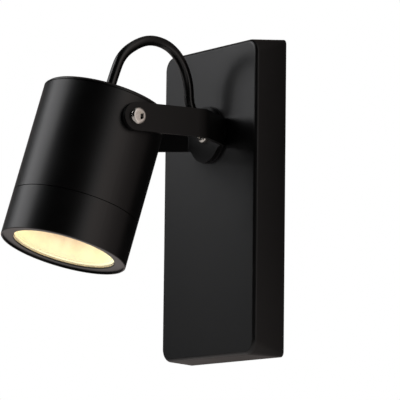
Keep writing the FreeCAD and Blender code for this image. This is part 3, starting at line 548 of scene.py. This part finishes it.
def lamp_capsule():
    """Lit glass capsule in the middle of the bowl, with a round tip."""
    back = BOWL_START + CAVITY_DEPTH - CAPSULE_SEAT
    tip = back - CAPSULE_LENGTH
    angles = [math.pi / 2 * i / DOME_STEPS for i in range(DOME_STEPS + 1)]
    dome = [(CAPSULE_RADIUS * math.sin(a), tip + CAPSULE_RADIUS * (1 - math.cos(a))) for a in angles]
    piece = turned_mesh("lamp_capsule", dome + [(CAPSULE_RADIUS, back), (0, back)], CAPSULE_SIDES)
    smooth(piece.data)
    piece.data.materials.append(capsule_glow)
    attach(piece, "head")


reflector_lamp()
lamp_capsule()


# ---- screws -------------------------------------------------------------------------------

SCREW_HEAD_RADIUS = 4.1 * MM
SOCKET_FLATS = 4.0 * MM
SOCKET_DEPTH = 1.5 * MM
SOCKET_RIM = 0.35 * MM        # width of the flat round the socket's corners
SHANK_RADIUS = 2.5 * MM
HEAD_HEIGHT = 2.3 * MM
SKIRT_SHARE = 0.35            # share of the head's height that is straight, below the dome
PIVOT_SHANK_END = 25.0 * MM
SCREW_SIDES = 48
SHARP_EDGE = math.radians(40)


def button_screw(name, place, top, shank_end):
    """Socket screw with a domed head along the Z axis of place, its top and end given along it."""
    seat = top - HEAD_HEIGHT
    flat = SOCKET_FLATS / 2 / math.cos(math.pi / 6) + SOCKET_RIM
    skirt = seat + SKIRT_SHARE * (top - seat)
    dome = []
    for i in range(DOME_STEPS + 1):
        angle = math.pi / 2 * i / DOME_STEPS
        dome.append((flat + (SCREW_HEAD_RADIUS - flat) * math.cos(angle),
                     skirt + (top - skirt) * math.sin(angle)))
    profile = [(0, shank_end), (SHANK_RADIUS, shank_end), (SHANK_RADIUS, seat),
               (SCREW_HEAD_RADIUS, seat)] + dome
    first_hexagon = len(profile)
    socket_end = top - SOCKET_DEPTH
    profile += [(SOCKET_FLATS / 2, top), (SOCKET_FLATS / 2, socket_end), (0, socket_end)]
    socket_rings = (first_hexagon, first_hexagon + 1)
    piece = turned_mesh(name, profile, SCREW_SIDES, hexagons=socket_rings, place=place)
    smooth(piece.data)
    edges = piece.modifiers.new("edges", "EDGE_SPLIT")
    edges.split_angle = SHARP_EDGE
    piece.data.materials.append(bright_steel)
    return piece


def pivot_screws():
    """One screw through each arm, into the head."""
    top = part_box("pivot_screws")[1][0]
    for side, name in ((-1, "pivot_screw_left"), (1, "pivot_screw_right")):
        place = Matrix.Translation(pivot) @ Matrix.Rotation(side * math.pi / 2, 4, "Y")
        piece = button_screw(name, place, top, PIVOT_SHANK_END)
        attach(piece, "head")
        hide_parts("pivot_screws")


def swivel_screw():
    """Screw in the middle of the pad, where the CAD's own screw is."""
    low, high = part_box("swivel_screw")
    middle = Vector((0, 0, (low[2] + high[2]) / 2))
    place = Matrix.Translation(middle) @ Matrix.Rotation(math.pi / 2, 4, "X")
    piece = button_screw("swivel_button_screw", place, -low[1], -high[1])
    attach(piece, "base")
    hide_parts("swivel_screw")


swivel_screw()
pivot_screws()


# ---- camera -------------------------------------------------------------------------------

CAMERA_PLACE = (1.35152, -0.90297, -0.19221)
CAMERA_RIGHT = Vector((0.54719, 0.83692, 0.01169))
CAMERA_UP = Vector((0.09314, -0.07477, 0.99284))
CAMERA_LENS = 297.0           # millimetres, as is the sensor
CAMERA_SENSOR = 36.0
CAMERA_NEAR = 0.01


def camera():
    """Camera at the photograph's viewing angle."""
    data = bpy.data.cameras.new("camera")
    data.lens = CAMERA_LENS
    data.sensor_width = CAMERA_SENSOR
    data.clip_start = CAMERA_NEAR
    holder = add_object("camera", data)
    right = CAMERA_RIGHT.normalized()
    back = right.cross(CAMERA_UP).normalized()
    up = back.cross(right)
    turn = Matrix((right, up, back)).transposed().to_4x4()
    holder.matrix_world = Matrix.Translation(CAMERA_PLACE) @ turn
    bpy.context.scene.camera = holder


# ---- light and surroundings ---------------------------------------------------------------

FLOOR_Z = -0.42
FLOOR_REACH = 3.0
FLOOR_GLOW = 0.25
FLOOR_GLOW_SEEN = 0.72        # the floor's glow in the camera's own view
CENTRE = Vector((0, -0.04, 0))

# name, azimuth, elevation, distance, size, radiance, colour
SOFTBOXES = [
    ("key", -38, 31, 0.9, (0.56, 0.56), 2.2, (0.99, 0.985, 1.0)),
    ("side", -58, 20, 0.8, (0.24, 0.32), 0.75, (0.97, 0.98, 1.0)),
    ("low", -53, 3, 0.8, (0.26, 0.2), 0.4, (0.97, 0.98, 1.0)),
]

AMBIENT = 0.12
# the mirrored world brightens between two values of its direction's Y and X, from one strength to another
MIRRORED_Y = (-0.3, 0.1, 0.0, 0.85)
MIRRORED_X = (-0.2, 0.3, 0.15, 1.0)

# the board that reflections see: heights count less than widths in its distance from the light
WALL_REACH = 1.6
WALL_Y = 0.004
WALL_SCALE = (1, 1, 0.6)
WALL_SHIFT = (0, 0, -0.03)
# the board's colour by that distance: a painted shadow of the light on the wall, dark close round it and
# paler further off
WALL_PAINTED_SHADOW_RAMP = (
    (0.055, (0.11, 0.095, 0.09)), (0.115, (0.27, 0.24, 0.23)),
    (0.17, (0.56, 0.5, 0.48)), (0.4, (0.9, 0.81, 0.77)),
)
WALL_SLANT = (1, 0, -1)
WALL_DIMS = (0.2, 1.0, -0.35, -0.08)


def direction(azimuth, elevation):
    """Unit vector; azimuth 0 is out from the wall, and it grows towards +X. Degrees."""
    azimuth = math.radians(azimuth)
    elevation = math.radians(elevation)
    return Vector((math.sin(azimuth) * math.cos(elevation), -math.cos(azimuth) * math.cos(elevation),
                   math.sin(elevation)))


def softbox(name, direction, distance, size, radiance, colour):
    """Rectangular lamp that faces the centre from a direction."""
    data = bpy.data.lights.new(name, "AREA")
    data.shape = "RECTANGLE"
    data.size, data.size_y = size
    data.energy = radiance * math.pi * size[0] * size[1]
    data.color = colour
    holder = add_object(name, data)
    holder.location = CENTRE + direction * distance
    holder.rotation_euler = direction.to_track_quat("Z", "Y").to_euler()
    holder.visible_camera = False


def lights():
    for name, azimuth, elevation, *settings in SOFTBOXES:
        softbox(name, direction(azimuth, elevation), *settings)


def surroundings():
    """White to the camera and through glass; where it is mirrored, brighter towards +X and +Y."""
    world = bpy.data.worlds.new("studio")
    world.use_nodes = True
    tree = world.node_tree
    tree.nodes.clear()

    def add(kind, **settings):
        node = tree.nodes.new(kind)
        for key, value in settings.items():
            setattr(node, key, value)
        return node

    def math_node(operation, first, second):
        node = add("ShaderNodeMath", operation=operation)
        for socket, value in zip(node.inputs, (first, second)):
            if isinstance(value, (int, float)):
                socket.default_value = value
            else:
                tree.links.new(value, socket)
        return node.outputs["Value"]

    def along(value, from_low, from_high, to_low, to_high):
        node = add("ShaderNodeMapRange", interpolation_type="SMOOTHSTEP")
        for key, number in (("From Min", from_low), ("From Max", from_high),
                            ("To Min", to_low), ("To Max", to_high)):
            node.inputs[key].default_value = number
        tree.links.new(value, node.inputs["Value"])
        return node.outputs["Result"]

    split = add("ShaderNodeSeparateXYZ")
    tree.links.new(add("ShaderNodeTexCoord").outputs["Generated"], split.inputs["Vector"])
    wall_side = math_node("MULTIPLY", along(split.outputs["Y"], *MIRRORED_Y),
                          along(split.outputs["X"], *MIRRORED_X))
    path = add("ShaderNodeLightPath")
    seen = math_node("MAXIMUM", path.outputs["Is Camera Ray"], path.outputs["Is Transmission Ray"])
    mirrored = math_node("MULTIPLY", path.outputs["Is Glossy Ray"], wall_side)
    ambient = math_node("MULTIPLY", path.outputs["Is Diffuse Ray"], AMBIENT)
    strength = math_node("MAXIMUM", seen, math_node("ADD", mirrored, ambient))
    background = add("ShaderNodeBackground")
    background.inputs["Color"].default_value = (1, 1, 1, 1)
    tree.links.new(strength, background.inputs["Strength"])
    tree.links.new(background.outputs["Background"], add("ShaderNodeOutputWorld").inputs["Surface"])
    bpy.context.scene.world = world


def plane(name, corners):
    data = bpy.data.meshes.new(name)
    data.from_pydata(corners, [], [(0, 1, 2, 3)])
    return add_object(name, data)


def floor():
    """Pale floor, which glows more to the camera than to the light's pieces."""
    piece = plane("floor", [(-FLOOR_REACH, -FLOOR_REACH, FLOOR_Z), (FLOOR_REACH, -FLOOR_REACH, FLOOR_Z),
                            (FLOOR_REACH, FLOOR_REACH, FLOOR_Z), (-FLOOR_REACH, FLOOR_REACH, FLOOR_Z)])
    nodes = Nodes("floor", (0.86, 0.82, 0.8), 0.8)
    nodes.shader.inputs["Emission Color"].default_value = (1.0, 0.95, 0.93, 1)
    seen = nodes.add("ShaderNodeLightPath").outputs["Is Camera Ray"]
    glow = nodes.level(seen, FLOOR_GLOW, FLOOR_GLOW_SEEN, 0.0, 1.0)
    nodes.link(glow, nodes.shader.inputs["Emission Strength"])
    piece.data.materials.append(nodes.material)


def reflected_wall():
    """Glowing board just behind the wall's plane, seen only in reflections.

    It is dark close round the light, a painted shadow of the light on the wall, and dimmer towards -X and
    upwards.
    """
    piece = plane("reflected_wall", [(-WALL_REACH, WALL_Y, FLOOR_Z), (WALL_REACH, WALL_Y, FLOOR_Z),
                                     (WALL_REACH, WALL_Y, WALL_REACH), (-WALL_REACH, WALL_Y, WALL_REACH)])
    nodes = Nodes("reflected_wall", (0, 0, 0), 1.0, specular=0.0)
    distance = nodes.add("ShaderNodeVectorMath", operation="LENGTH")
    nodes.link(nodes.place(WALL_SCALE, shift=WALL_SHIFT), distance.inputs[0])
    shade = nodes.ramp(distance.outputs["Value"], *WALL_PAINTED_SHADOW_RAMP)
    nodes.link(shade, nodes.shader.inputs["Emission Color"])
    slant = nodes.add("ShaderNodeVectorMath", operation="DOT_PRODUCT")
    slant.inputs[1].default_value = WALL_SLANT
    nodes.link(nodes.place(), slant.inputs[0])
    strength = nodes.level(slant.outputs["Value"], *WALL_DIMS)
    nodes.link(strength, nodes.shader.inputs["Emission Strength"])
    piece.data.materials.append(nodes.material)
    piece.visible_camera = False
    piece.visible_diffuse = False
    piece.visible_transmission = False
    piece.visible_shadow = False


camera()
lights()
surroundings()
floor()
reflected_wall()

bpy.context.scene.view_settings.view_transform = "Standard"
